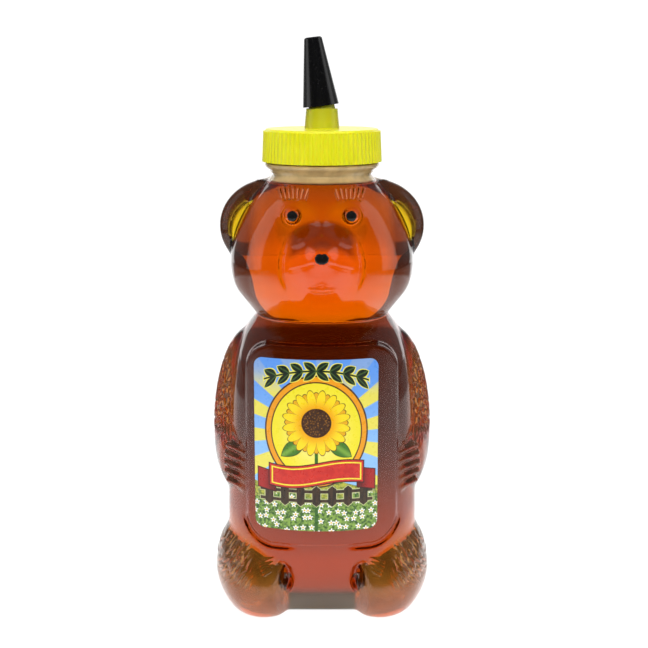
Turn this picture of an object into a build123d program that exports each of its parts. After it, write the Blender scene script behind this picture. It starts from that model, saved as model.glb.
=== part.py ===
from build123d import *
import math
import os

# Honey bear bottle: a squeezable blown bottle in the shape of a sitting bear,
# filled with honey and closed by a ribbed screw cap with a pouring spout and a
# cone that covers the spout. All lengths are in millimetres, all angles in
# degrees. The bear looks along -Y, +Z is up, and the origin is on the neck's
# axis, at the level that the bottle stands on.

# Bottle wall, and how far a cut runs past what it cuts
wall = 0.9
overrun = 5.0

# Trunk, from the base up to the groove under the chin
trunk_height = 102.0
trunk_half_width = 33.0
trunk_half_depth = 33.2
trunk_squareness = 2.6
trunk_height_shares = (0.0, 0.03, 0.1, 0.22, 0.4, 0.6, 0.78, 0.89, 0.955)
trunk_width_shares = (0.86, 0.93, 0.975, 1.0, 1.0, 0.985, 0.94, 0.87, 0.79)
trunk_depth_shares = (0.86, 0.93, 0.975, 1.0, 1.0, 1.0, 0.985, 0.955, 0.88)

# Groove under the chin, where the trunk's last section is also the head's first
groove_half_width = 22.8
groove_half_depth = 22.4

# Head, from the groove up into the neck
head_height = 48.5
head_half_width = 31.4
head_half_depth = 30.0
head_squareness = 2.2
head_height_shares = (0.065, 0.18, 0.36, 0.52, 0.68, 0.82, 0.92, 1.0)
head_width_shares = (0.806, 0.936, 1.0, 0.965, 0.87, 0.735, 0.605, 0.5)
head_depth_shares = (0.815, 0.935, 1.0, 0.97, 0.885, 0.76, 0.63, 0.53)

# Points that shape each oval section of the trunk and the head
oval_points = 20

# Dish under the base, so that the bottle stands on a ring and on its feet
dish_half_width = 20.0
dish_half_depth = 16.0
dish_rise = 3.0

# Muzzle, with the small bump of the nose
muzzle_half_width = 13.8
muzzle_half_depth = 15.2
muzzle_half_height = 13.6
muzzle_sink = 11.5
muzzle_rise = 20.0
nose_radius = 3.2
nose_sink = 1.8
nose_rise = 23.4

# Eyes, each a bead in a hollow beside the bridge of the nose
eye_radius = 3.3
eye_spacing = 19.0
eye_sink = 8.1
eye_rise = 35.6
hollow_half_width = 9.6
hollow_half_depth = 7.6
hollow_half_height = 9.4
hollow_spacing = 17.2
hollow_sink = 0.4

# Black paint on the eyes and the nose
paint_thickness = 0.15
eye_paint_radius = 1.75
nose_paint_width = 4.6
nose_paint_height = 3.8

# Ears, each a drooping flap with a shallow dish in front, whose floor has one thickness
ear_half_width = 17.7
ear_half_depth = 7.6
ear_half_height = 16.2
ear_inset = 13.9
ear_back = 1.6
ear_rise = 29.5
ear_floor = 8.6
ear_dish_half_width = 12.5
ear_dish_half_height = 12.0
ear_dish_shift = 0.9
ear_dish_drop = 1.5

# Arms, each a limb that hangs at the side and a paw in front of its lower end
arm_half_width = 11.3
arm_half_depth = 14.0
arm_half_height = 30.5
arm_inset = 6.0
arm_back = 1.5
arm_level = 66.0
arm_lean = 4.0
paw_half_width = 7.6
paw_half_depth = 12.5
paw_half_height = 13.0
paw_inset = 4.6
paw_sink = 23.7
paw_level = 54.0

# Fingers, short rounded ridges across the front of each paw
finger_count = 5
finger_half_length = 3.8
finger_half_depth = 3.0
finger_half_thickness = 1.5
finger_pitch = 3.1
finger_inset = 3.8
finger_sink = 13.6
finger_level = 53.0

# Legs, each a thigh at the side and a foot whose sole faces the other foot
thigh_half_width = 17.0
thigh_half_depth = 25.0
thigh_half_height = 20.0
thigh_inset = 12.4
thigh_sink = 25.7
thigh_level = 14.0
foot_half_width = 13.0
foot_half_depth = 15.0
foot_half_height = 14.0
foot_inset = 13.5
foot_sink = 13.8
foot_level = 11.6

# Soles, each turned a little to the front, with a dish inside its rim
sole_spacing = 24.8
sole_sink = 9.2
sole_turn = 18.0
sole_dish_depth = 1.6
sole_dish_half_depth = 2.0
sole_dish_half_length = 6.6
sole_dish_half_height = 7.2
sole_dish_back = 1.0
sole_dish_level = 15.6

# Label panel, a raised part of a cylinder with rounded corners
panel_width = 50.4
panel_height = 68.0
panel_corner = 9.0
panel_radius = 46.0
panel_proud = 1.2
panel_level = 63.0

# Printed label on the panel, which was stuck a little to one side
label_width = 40.6
label_height = 58.2
label_corner = 3.0
label_thickness = 0.15
label_offset = -1.9
label_rise = 0.5

# Neck, its carrying collar and the finish that the cap screws on to
neck_bore_radius = 15.1
neck_wall = 1.1
finish_wall = 2.35
finish_height = 9.4
collar_radius = 19.3
collar_rise = 2.7
collar_edge = 0.9
collar_slope = 1.4
rim_rounding = 0.5

# Air between the honey and the foot of the neck
honey_shortfall = 3.3

# Sealing ring between the rim and the cap's top
liner_thickness = 0.7
liner_gap = 0.6
liner_lap = 3.1

# Screw cap: the thread's depth is left free between the finish and the skirt
thread_depth = 1.15
thread_clearance = 0.3
cap_wall = 1.0
cap_top_thickness = 1.2
cap_skirt_gap = 0.4
cap_draft = 0.5
cap_edge = 0.7
cap_rib_count = 72
cap_rib_radius = 0.6
cap_rib_proud = 0.35

# Cone that covers the nozzle, pushed on a little askew
tip_length = 22.5
tip_mouth_radius = 6.1
tip_top_radius = 3.0
tip_wall = 0.9
tip_top_thickness = 1.1
tip_rounding = 0.4
tip_lean = 6.8
tip_shift = 0.35
tip_clearance = 0.3

# Pouring spout on the cap: a stem, and a nozzle that the cone covers
stem_height = 6.6
stem_foot_radius = 5.9
stem_top_radius = 5.3
stem_bore_radius = 4.6
nozzle_length = 12.0
nozzle_wall = 1.0

# Levels and radii that follow from the sizes above
head_top = trunk_height + head_height
honey_level = head_top - honey_shortfall
collar_level = head_top + collar_rise
rim_level = collar_level + finish_height
neck_radius = neck_bore_radius + neck_wall
finish_radius = neck_bore_radius + finish_wall
cap_bore_radius = finish_radius + thread_depth + thread_clearance
cap_radius = cap_bore_radius + cap_wall
cap_foot = collar_level + cap_skirt_gap
cap_ceiling = rim_level + liner_thickness
cap_top = cap_ceiling + cap_top_thickness
stem_top = cap_top + stem_height
tip_bore_radius = tip_mouth_radius - tip_wall
tip_mouth_level = stem_top + tip_clearance + tip_mouth_radius * math.sin(math.radians(tip_lean))
panel_forward = trunk_half_depth + panel_proud


def oval(half_width, half_depth, squareness, level):
    """A level oval face: a squareness of 2 gives an ellipse, and more is squarer."""
    points = []
    for step in range(oval_points):
        turn = 2 * math.pi * step / oval_points
        across, along = math.cos(turn), math.sin(turn)
        x = math.copysign(abs(across) ** (2 / squareness), across) * half_width
        y = math.copysign(abs(along) ** (2 / squareness), along) * half_depth
        points.append((x, y, level))
    return Face(Wire(Spline(*points, periodic=True).edges()))


def ellipsoid(centre, half_sizes, grow):
    """A ball stretched to three half sizes, moved in or out by grow all round."""
    return Pos(*centre) * scale(Sphere(1), by=tuple(size + grow for size in half_sizes))


def groove(grow):
    return oval(groove_half_width + grow, groove_half_depth + grow, head_squareness, trunk_height)


def trunk(grow):
    sections = []
    for height, width, depth in zip(trunk_height_shares, trunk_width_shares, trunk_depth_shares):
        half_width = trunk_half_width * width + grow
        half_depth = trunk_half_depth * depth + grow
        sections.append(oval(half_width, half_depth, trunk_squareness, trunk_height * height))
    return loft(sections + [groove(grow)])


def head(grow):
    """The head meets the trunk in a sharp groove, and its top runs up into the neck."""
    sections = [groove(grow)]
    for height, width, depth in zip(head_height_shares, head_width_shares, head_depth_shares):
        half_width = head_half_width * width + grow
        half_depth = head_half_depth * depth + grow
        level = trunk_height + head_height * height
        sections.append(oval(half_width, half_depth, head_squareness, level))
    return loft(sections)


def muzzle(grow):
    """The muzzle with the nose, a small ball sunk in its front."""
    forward = head_half_depth - muzzle_sink
    centre = (0, -forward, trunk_height + muzzle_rise)
    snout = ellipsoid(centre, (muzzle_half_width, muzzle_half_depth, muzzle_half_height), grow)
    return snout + nose_place() * Sphere(nose_radius + grow)


def nose_place():
    forward = head_half_depth - muzzle_sink + muzzle_half_depth - nose_sink
    return Pos(0, -forward, trunk_height + nose_rise)


def eye_place(side):
    return Pos(side * eye_spacing / 2, eye_sink - head_half_depth, trunk_height + eye_rise)


def eye_hollow(side, grow):
    centre = (side * hollow_spacing / 2, hollow_sink - head_half_depth, trunk_height + eye_rise)
    return ellipsoid(centre, (hollow_half_width, hollow_half_depth, hollow_half_height), -grow)


def face(grow):
    """The head with an eye in each hollow, and the muzzle."""
    shape = head(grow)
    for side in (-1, 1):
        shape -= eye_hollow(side, grow)
        shape += eye_place(side) * Sphere(eye_radius + grow)
    return shape + muzzle(grow)


def ear(side, grow):
    """The dish's floor follows the flap's back, so the flap is cut by its own shape moved forward."""
    across = side * (head_half_width - ear_inset)
    level = trunk_height + ear_rise
    half_sizes = (ear_half_width, ear_half_depth, ear_half_height)
    flap = ellipsoid((across, ear_back, level), half_sizes, grow)
    floor = ellipsoid((across, ear_back - ear_floor, level), half_sizes, -grow)
    outline = Ellipse(ear_dish_half_width - grow, ear_dish_half_height - grow)
    centre = Pos(across + side * ear_dish_shift, level - ear_dish_drop, -overrun)
    reach = 2 * (ear_half_depth + overrun)
    return flap - (floor & extrude(Plane.XZ * centre * outline, reach))


def arm(side, grow):
    """The upper arm, the paw and the fingers. The arm's top leans in to the shoulder."""
    upper = ellipsoid((0, 0, 0), (arm_half_width, arm_half_depth, arm_half_height), grow)
    across = side * (trunk_half_width - arm_inset)
    limb = Pos(across, arm_back, arm_level) * Rot(0, -side * arm_lean, 0) * upper
    across = side * (trunk_half_width - paw_inset)
    centre = (across, paw_sink - trunk_half_depth, paw_level)
    limb += ellipsoid(centre, (paw_half_width, paw_half_depth, paw_half_height), grow)
    across = side * (trunk_half_width - finger_inset)
    finger_half_sizes = (finger_half_length, finger_half_depth, finger_half_thickness)
    for finger in range(finger_count):
        level = finger_level + (finger - (finger_count - 1) / 2) * finger_pitch
        centre = (across, finger_sink - trunk_half_depth, level)
        limb += ellipsoid(centre, finger_half_sizes, grow)
    return limb


def leg(side, grow):
    """The thigh, and the foot that is cut off at its sole."""
    across = side * (trunk_half_width - thigh_inset)
    centre = (across, thigh_sink - trunk_half_depth, thigh_level)
    thigh = ellipsoid(centre, (thigh_half_width, thigh_half_depth, thigh_half_height), grow)
    across = side * (trunk_half_width - foot_inset)
    centre = (across, foot_sink - trunk_half_depth, foot_level)
    foot = ellipsoid(centre, (foot_half_width, foot_half_depth, foot_half_height), grow)
    reach = 2 * (foot_half_depth + foot_half_width)
    sole = Pos(side * sole_spacing / 2, sole_sink - trunk_half_depth, 0) * Rot(0, 0, side * sole_turn)
    behind_sole = sole * Pos(side * (reach / 2 - grow), 0, foot_level) * Box(reach, 2 * reach, 2 * reach)
    centre = (side * (sole_dish_depth - sole_dish_half_depth), sole_dish_back, sole_dish_level)
    half_sizes = (sole_dish_half_depth, sole_dish_half_length, sole_dish_half_height)
    return (thigh + (foot & behind_sole)) - sole * ellipsoid(centre, half_sizes, -grow)


def label_panel(grow):
    """A rounded rectangle whose front is part of an upright cylinder."""
    outline = RectangleRounded(panel_width + 2 * grow, panel_height + 2 * grow, panel_corner + grow)
    block = extrude(Plane.XZ * Pos(0, panel_level) * outline, panel_forward + overrun)
    return block & panel_cylinder(panel_radius + grow)


def panel_cylinder(radius):
    return Pos(0, panel_radius - panel_forward, panel_level) * Cylinder(radius, panel_height + overrun)


def under_base(grow):
    """What lies under the bottle, with the dish that rises into it."""
    depth = thigh_half_height + overrun
    size = 2 * (trunk_half_width + trunk_half_depth)
    slab = Pos(0, 0, -grow - depth / 2) * Box(size, size, depth)
    return slab + ellipsoid((0, 0, 0), (dish_half_width, dish_half_depth, dish_rise), -grow)


def bear(grow):
    """The bear below its neck: its outer skin with grow 0, its inner skin with grow -wall."""
    shape = trunk(grow) + face(grow)
    for side in (-1, 1):
        shape += ear(side, grow)
        shape += arm(side, grow)
        shape += leg(side, grow)
    shape += label_panel(grow)
    return shape - under_base(grow)


def revolved(*points):
    """A solid turned about the upright axis from an outline of radii and levels."""
    return revolve(Plane.XZ * make_face(Polyline(*points, close=True)), Axis.Z)


def neck():
    """The neck, its collar and the finish, as one solid before the bore is cut."""
    foot = honey_level - overrun
    edge_foot = collar_level - collar_edge
    return revolved(
        (0, foot),
        (neck_radius, foot),
        (neck_radius, edge_foot - collar_slope),
        (collar_radius, edge_foot),
        (collar_radius, collar_level),
        (finish_radius, collar_level),
        (finish_radius, rim_level - rim_rounding),
        (finish_radius - rim_rounding, rim_level),
        (0, rim_level),
    )


def neck_bore():
    foot = honey_level - overrun
    height = rim_level + overrun - foot
    return Pos(0, 0, foot + height / 2) * Cylinder(neck_bore_radius, height)


def filled_space():
    """What the honey fills: the inside of the bottle up to the honey's level."""
    size = 2 * (trunk_half_width + trunk_half_depth)
    return Pos(0, 0, honey_level / 2) * Box(size, size, honey_level)


def label():
    """The printed label, a thin skin on the panel's round front."""
    outline = RectangleRounded(label_width, label_height, label_corner)
    level = panel_level + label_rise
    block = extrude(Plane.XZ * Pos(label_offset, level) * outline, panel_forward + overrun)
    return (block & panel_cylinder(panel_radius + label_thickness)) - panel_cylinder(panel_radius)


def paint(place, radius, outline):
    """Paint of one thickness on the front of a ball, within an outline seen from the front."""
    skin = Sphere(radius + paint_thickness) - Sphere(radius)
    return place * (skin & extrude(Plane.XZ * outline, radius + overrun))


def cap_liner():
    height = liner_thickness
    ring = Cylinder(cap_bore_radius - liner_gap, height) - Cylinder(neck_bore_radius - liner_lap, height)
    return Pos(0, 0, rim_level + height / 2) * ring


def cap_ribs():
    """Grip ribs round the skirt, each a rod sunk in it and leaning with its draft."""
    height = cap_top - cap_edge - cap_foot
    lean = math.degrees(math.atan2(cap_draft, cap_top - cap_foot))
    across = cap_radius - cap_draft / 2 - cap_rib_radius + cap_rib_proud
    rod = Pos(across, 0, cap_foot + height / 2) * Rot(0, -lean, 0) * Cylinder(cap_rib_radius, height)
    trim = Pos(0, 0, (cap_foot + cap_top) / 2) * Cylinder(cap_radius + overrun, cap_top - cap_foot)
    return [Rot(0, 0, turn) * (rod & trim) for turn in rib_turns()]


def rib_turns():
    return [360 * rib / cap_rib_count for rib in range(cap_rib_count)]


def cap():
    """The ribbed cap with its stem and nozzle, and one bore through both."""
    rise = tip_mouth_level - stem_top
    reach = nozzle_length - rise
    slope = (tip_mouth_radius - tip_top_radius) / tip_length
    lean = math.radians(tip_lean)
    nozzle_foot_radius = tip_bore_radius - tip_shift - tip_clearance
    nozzle_tip_radius = nozzle_foot_radius - reach * (slope * math.cos(lean) + math.sin(lean))
    nozzle_top = stem_top + nozzle_length
    outside = revolved(
        (0, cap_foot),
        (cap_radius, cap_foot),
        (cap_radius - cap_draft, cap_top - cap_edge),
        (cap_radius - cap_draft - cap_edge, cap_top),
        (stem_foot_radius, cap_top),
        (stem_top_radius, stem_top),
        (nozzle_foot_radius, stem_top),
        (nozzle_tip_radius, nozzle_top),
        (0, nozzle_top),
    )
    inside = revolved(
        (0, cap_foot - overrun),
        (cap_bore_radius, cap_foot - overrun),
        (cap_bore_radius, cap_ceiling),
        (stem_bore_radius, cap_ceiling),
        (nozzle_foot_radius - nozzle_wall, stem_top),
        (nozzle_tip_radius - nozzle_wall, nozzle_top),
        (nozzle_tip_radius - nozzle_wall, nozzle_top + overrun),
        (0, nozzle_top + overrun),
    )
    return (outside + cap_ribs()) - inside


def tip_cap():
    """The cone, made upright with its mouth at the origin, then leaned and put in place."""
    cone = revolved(
        (0, 0),
        (tip_mouth_radius, 0),
        (tip_top_radius, tip_length - tip_rounding),
        (tip_top_radius - tip_rounding, tip_length),
        (0, tip_length),
    )
    bore = revolved(
        (0, -overrun),
        (tip_bore_radius, -overrun),
        (tip_bore_radius, 0),
        (tip_top_radius - tip_wall, tip_length - tip_top_thickness),
        (0, tip_length - tip_top_thickness),
    )
    return Pos(-tip_shift, 0, tip_mouth_level) * Rot(0, -tip_lean, 0) * (cone - bore)


inside = bear(-wall)
parts = {
    "bottle": (bear(0) + neck()) - inside - neck_bore(),
    "honey": inside & filled_space(),
    "label": label(),
    "eye_paint_left": paint(eye_place(1), eye_radius, Circle(eye_paint_radius)),
    "eye_paint_right": paint(eye_place(-1), eye_radius, Circle(eye_paint_radius)),
    "nose_paint": paint(
        nose_place(), nose_radius, Ellipse(nose_paint_width / 2, nose_paint_height / 2)
    ),
    "cap_liner": cap_liner(),
    "cap": cap(),
    "tip_cap": tip_cap(),
}

os.makedirs("parts", exist_ok=True)
for name, shape in parts.items():
    shape.label = name
    export_step(shape, f"parts/{name}.step")
    print(name, round(shape.volume), "mm3")
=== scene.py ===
import math

import bmesh
import bpy
import numpy as np
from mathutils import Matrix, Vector


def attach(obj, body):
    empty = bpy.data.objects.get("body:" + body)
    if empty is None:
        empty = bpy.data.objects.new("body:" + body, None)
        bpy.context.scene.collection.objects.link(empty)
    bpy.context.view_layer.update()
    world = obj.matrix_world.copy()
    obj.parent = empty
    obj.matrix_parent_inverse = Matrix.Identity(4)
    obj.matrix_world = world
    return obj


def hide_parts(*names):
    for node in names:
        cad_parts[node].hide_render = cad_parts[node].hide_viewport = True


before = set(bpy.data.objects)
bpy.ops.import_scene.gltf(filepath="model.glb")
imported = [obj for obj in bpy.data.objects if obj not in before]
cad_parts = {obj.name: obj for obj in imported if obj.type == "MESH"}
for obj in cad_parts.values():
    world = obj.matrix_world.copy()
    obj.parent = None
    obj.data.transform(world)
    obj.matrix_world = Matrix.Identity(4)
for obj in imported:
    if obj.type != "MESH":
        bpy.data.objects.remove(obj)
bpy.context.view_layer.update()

# A honey bear bottle on a white table. The bear is sculpted as a field of distances to its skin, negative
# inside, so that its limbs can flow into each other. It faces -Y. Sizes are in millimetres and angles in
# degrees; a mesh becomes metres when it is made. Pairs are sculpted once, on m, how far out a place is.
MM = 0.001
TINY = 1e-9

# Fineness of the meshes, how points settle on a surface, and the small step that feels a slope
SKIN_STEP = 0.55
INSIDE_STEP = 1.0
SLAB = 12
SETTLE_ROUNDS, SETTLE_SLOPE, SETTLE_MOVE = 3, 0.3, 0.6
FEEL = 0.05

# Levels up the bottle
GROOVE = 102.0
NECK_START = 140.0
BORE_START = 144.0
HONEY_LEVEL = 147.2
COLLAR_FOOT = 149.7
FINISH_START = 150.0
HEAD_TOP = 150.5
COLLAR_TOP = 153.2
RIM = 162.6
CAP_TOP = 164.5

# Head: an eye in front view, the point from which its brow fans out, an ear's flap, its dish and how thick
# the dish's floor is, and a plain form of the head that the ears stand out of
EYE, EYE_RADIUS = (9.5, 137.6), 3.3
BROW_FAN, HAIRS = (9.0, 133.0), 7
EAR, EAR_HALF = (17.5, 1.6, 131.5), (17.7, 7.6, 16.2)
DISH, DISH_HALF, EAR_FLOOR = (18.4, 130.0), (12.5, 12.0), 8.6
HEAD, HEAD_HALF = (0.0, 0.0, 119.5), (31.4, 30.0, 32.8)

# Limbs: an arm's middle and lean, the fingers' heights, a place on a sole and how far the sole turns to the
# front, the toes, and the fur's depth and lean
ARM, ARM_LEAN = (27.0, 1.5, 66.0), 4
FINGERS = (59.2, 56.2, 53.1, 50.0, 46.8)
SOLE, SOLE_TURN = (12.4, -24.0, 15.6), 18
TOES = 4
FUR_DEPTH, ARM_FUR_LEAN, THIGH_FUR_LEAN = 0.32, 24, 36

# Panel for the label: height of its middle, half its width and height, and the radius of its corners
PANEL_MIDDLE, PANEL_HALF, PANEL_CORNER = 63.0, (25.2, 34.0), 9.0
LABEL_MIDDLE = (-1.8, 63.5)

# Paint dots: points round them, rings, moves on to the skin, and how far they stand out of it
PAINT_TURNS, PAINT_RINGS, PAINT_ROUNDS, PAINT_RISE = 40, 6, 12, 0.05

# Wall, and how far the honey's surface lies inside the bottle's. The wall bends no light where honey wets
# it: it is thin there, and the honey seems to reach right out to the skin.
WALL, HONEY_INSET = 0.9, 0.2
PET_IOR, HONEY_IOR, CAP_IOR, TIP_IOR = 1.57, 1.5, 1.49, 1.5

# Neck and cap. The ends of both threads taper over a small part of a turn.
BORE_RADIUS, NECK_RADIUS = 15.1, 16.2
COLLAR_RADIUS, FINISH_RADIUS = 19.3, 17.45
THREAD_PITCH = 25.4 / 6
THREAD_CREST = 18.55
THREAD_TURNS, THREAD_TAPER = 1.15, 0.06
THREAD_START = COLLAR_TOP + 2.6
CAP_BORE_RADIUS, CAP_THREAD_CREST = 18.9, 17.8
CAP_THREAD_START, CAP_THREAD_END = 0.4, 1.4

# Glow of the table, in metres. It fades in front, is weaker right behind the bottle and far behind it, and
# dark where the bottle shades it, in millimetres from its axis.
TABLE_SIDE, TABLE_GLOW, TABLE_SPREAD, TABLE_SOFT = 0.46, 1.2, 0.66, 30
TABLE_FADE_START, TABLE_FADE_END = -0.34, -0.08
TABLE_BEHIND, TABLE_FAR = 0.5, 0.84
SHADE_START, SHADE_END, SHADE_LIGHT = 14, 30, 0.2

# Sheet behind the table, floor that the camera sees, and the room's light in front, behind and low down
WHITE = (1.0, 1.0, 1.0)
BACK, BACK_SIDE, BACK_HEIGHT, BEND, BACK_GLOW = 1.0, 0.62, 1.1, 0.3, 1.18
FLOOR_REACH, FLOOR_GLOW = 1.6, 0.97
ROOM_FRONT, ROOM_BACK, ROOM_LOW, ROOM_SEEN = 0.024, 0.22, 0.2, 1.1

# Lights: place, aim, width, height and power. The cards show only as reflections.
CARD_PLACE, CARD_WIDTH, CARD_HEIGHT, CARD_POWER = (0.57, -0.04, 0.42), 0.3, 0.8, 0.75
TOP_LIGHT = ((0, 0.1, 0.9), (0, 0, 0), 0.7, 0.7, 4.3)
FRONT_LIGHT = ((0, -0.9, 0.7), (0, 0, 0.08), 0.9, 0.6, 9)

# Camera: place, how far it looks down, width of its sensor, and its focal length and picture in pixels
CAMERA, CAMERA_TILT = (0.0007, -0.42, 0.185), 11.8
SENSOR, FOCAL_PIXELS, PICTURE_PIXELS = 36.0, 1234, 648


def norm(*parts):
    return np.sqrt(sum(part * part for part in parts))


def cos_sin(degrees):
    return math.cos(math.radians(degrees)), math.sin(math.radians(degrees))


def soft_union(a, b, radius):
    share = np.clip(0.5 + 0.5 * (b - a) / radius, 0, 1)
    return b + (a - b) * share - radius * share * (1 - share)


def soft_cut(a, b, radius):
    """What is inside both a and b."""
    return -soft_union(-a, -b, radius)


def ellipsoid(p, centre, half_sizes):
    """Distance to an ellipsoid, or to an ellipse when p has two parts."""
    q = [(c - m) / h for c, m, h in zip(p, centre, half_sizes)]
    reach = norm(*q)
    slope = norm(*[c / h for c, h in zip(q, half_sizes)])
    return reach * (reach - 1) / np.maximum(slope, TINY)


def rod(p, start, end, start_radius, end_radius):
    """A round bar between two points that tapers between its radii, with round ends."""
    along = [e - s for s, e in zip(start, end)]
    length = sum(a * a for a in along)
    share = np.clip(sum((c - s) * a for c, s, a in zip(p, start, along)) / length, 0, 1)
    gap = norm(*[c - s - a * share for c, s, a in zip(p, start, along)])
    return gap - start_radius - (end_radius - start_radius) * share


def through(places, values):
    """A smooth curve through a few values, as a function."""
    places, values = np.array(places, float), np.array(values, float)
    slopes = np.gradient(values, places)

    def at(place):
        place = np.clip(place, places[0], places[-1])
        i = np.clip(np.searchsorted(places, place) - 1, 0, len(places) - 2)
        width = places[i + 1] - places[i]
        t = (place - places[i]) / width
        ahead = t * t * (3 - 2 * t)
        bend = slopes[i] * (t - 2 * t * t + t**3) + slopes[i + 1] * (t**3 - t * t)
        return values[i] * (1 - ahead) + values[i + 1] * ahead + width * bend

    return at


def fade(value, start, end):
    """0 before start, 1 past end, and smooth between them."""
    t = np.clip((value - start) / (end - start), 0, 1)
    return t * t * (3 - 2 * t)


def span(value, start, full, last, end):
    """0 before start, 1 between full and last, and 0 past end."""
    return fade(value, start, full) * (1 - fade(value, last, end))


# Half widths and half depths of the trunk, from the base to the groove, and of the head above it
trunk_levels = (0, 3, 10, 22, 41, 61, 80, 91, 97.4, GROOVE)
trunk_width = through(trunk_levels, (28.4, 30.7, 32.2, 33, 33, 32.5, 31, 28.7, 26.1, 22.8))
trunk_depth = through(trunk_levels, (28.5, 30.9, 32.4, 33.1, 33.1, 33.1, 32.6, 31.7, 29.2, 22.4))
head_levels = (GROOVE, 105.2, 110.7, 119.5, 127.2, 135, 141.8, 146.6, HEAD_TOP)
head_width = through(head_levels, (22.8, 25.3, 29.4, 31.4, 30.3, 27.3, 23.1, 19, 15.7))
head_depth = through(head_levels, (22.4, 24.5, 28, 30, 29.1, 26.5, 22.8, 18.9, 15.9))


def widening(profile, z):
    """How much a profile widens with each millimetre up."""
    return (profile(z + FEEL) - profile(z - FEEL)) / (2 * FEEL)


def trunk_and_head(p):
    """One squarish column from the base to the neck. Its profile turns sharply at the groove."""
    x, y, z = p
    above = z > GROOVE
    width = np.where(above, head_width(z), trunk_width(z))
    depth = np.where(above, head_depth(z), trunk_depth(z))
    power = np.where(above, 2.2, 2.6 - 0.4 * fade(z, 90, GROOVE))
    ratio = (np.abs(x / width) ** power + np.abs(y / depth) ** power + TINY) ** (1 / power)
    radius = np.where(ratio > 0.3, norm(x, y) / ratio, np.minimum(width, depth))
    lean = np.where(above, widening(head_depth, z), widening(trunk_depth, z))
    side = (ratio - 1) * radius / np.sqrt(1 + lean**2)
    return np.maximum(side, z - HEAD_TOP)


def ear(m):
    """A drooping flap with a thick rim and a shallow dish in front, whose floor is as thick all over."""
    x, y, z = m
    flap = ellipsoid(m, EAR, EAR_HALF)
    floor = ellipsoid((x, y + EAR_FLOOR, z), EAR, EAR_HALF)
    return soft_cut(flap, -soft_cut(ellipsoid((x, z), DISH, DISH_HALF), floor, 1.0), 1.0)


def arm(m):
    """The arm, which leans out, with its hand."""
    x, y, z = m
    lean_c, lean_s = cos_sin(ARM_LEAN)
    out, up = x - ARM[0], z - ARM[2]
    turned = (ARM[0] + out * lean_c + up * lean_s, y, ARM[2] + up * lean_c - out * lean_s)
    limb = ellipsoid(turned, ARM, (11.2, 14, 30.5))
    hand = ellipsoid(m, (28.4, -9.5, 54), (7.6, 12.5, 13))
    return soft_union(limb, hand, 5.0)


def fingers(m):
    """Five ridges across the hand. The middle ones reach a little further round it."""
    ridges = []
    for level in FINGERS:
        reach = 32.5 - 0.02 * (level - 53) ** 2
        ridges.append(rod(m, (25.8, -23.2, level - 1.1), (reach, -20.0, level + 0.7), 1.25, 1.05))
    return np.minimum.reduce(ridges)


def leg(m):
    """Thigh and foot. The sole faces inwards and a little to the front, and is dished inside its rim."""
    x, y, z = m
    thigh = ellipsoid(m, (20.6, -7.5, 14), (17, 25, 20))
    foot = ellipsoid(m, (19.5, -19.4, 11.6), (13, 15, 14))
    turn_c, turn_s = cos_sin(SOLE_TURN)
    beyond = (SOLE[0] - x) * turn_c - (y - SOLE[1]) * turn_s
    along = (y - SOLE[1]) * turn_c - (x - SOLE[0]) * turn_s
    foot = soft_cut(foot, beyond, 1.6)
    dish = ellipsoid((beyond, along, z), (0.4, 1.0, SOLE[2]), (2.0, 6.6, 7.2))
    return soft_cut(soft_union(thigh, foot, 3.0), -dish, 0.8)


def panel_outline(m, z):
    """Distance to the outline of the label's panel in front view, with its round corners."""
    across = m - PANEL_HALF[0] + PANEL_CORNER
    up = np.abs(z - PANEL_MIDDLE) - PANEL_HALF[1] + PANEL_CORNER
    beyond = norm(np.maximum(across, 0), np.maximum(up, 0))
    return beyond + np.minimum(np.maximum(across, up), 0) - PANEL_CORNER


def label_panel(p):
    """The raised panel, which is bent round the front of the trunk."""
    x, y, z = p
    front = norm(x, y - 11.6) - 46
    return soft_cut(soft_cut(panel_outline(np.abs(x), z), front, 0.9), y, 0.5)


def bear(p):
    """The bear's plain skin below the neck, without its fine relief."""
    z = p[2]
    low, high = float(z.min()), float(z.max())
    m = (np.abs(p[0]), p[1], z)

    def near(bottom, top):
        return high > bottom and low < top

    shape = trunk_and_head(p)
    if near(116, 152):
        shape = soft_union(shape, ear(m), 1.6)
    if near(124, 149):
        socket = ellipsoid(m, (8.6, -29.6, EYE[1]), (9.6, 7.6, 9.4))
        shape = soft_cut(shape, -socket, 1.6)
    if near(104, 142):
        snout = ellipsoid(p, (0, -18.5, 122), (13.8, 15.2, 13.6))
        shape = soft_union(shape, snout, 2.0)
        shape = soft_union(shape, norm(p[0], p[1] + 31.8, z - 125.1) - 2.9, 3.6)
    if near(130, 145):
        eye = norm(m[0] - EYE[0], p[1] + 21.9, z - EYE[1]) - EYE_RADIUS
        shape = soft_union(shape, eye, 0.7)
    if near(30, 100):
        shape = soft_union(shape, arm(m), 1.4)
        shape = soft_union(shape, fingers(m), 1.3)
    if near(-8, 38):
        under_belly = -0.8 * (p[1] + 22) - 0.6 * z
        beside_sole = ellipsoid(m, (13.8, -33.5, 16.0), (4.0, 8.5, 6.2))
        belly = soft_cut(soft_cut(shape, under_belly, 5.0), -beside_sole, 1.6)
        shape = soft_union(belly, leg(m), 1.2)
    if near(26, 100):
        shape = soft_union(shape, label_panel(p), 0.7)
    if near(-8, 8):
        dish = ellipsoid(p, (0, 0, 0), (20, 16, 3))
        shape = -soft_union(-soft_cut(shape, -z, 2.2), dish, 0.8)
    return shape


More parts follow.
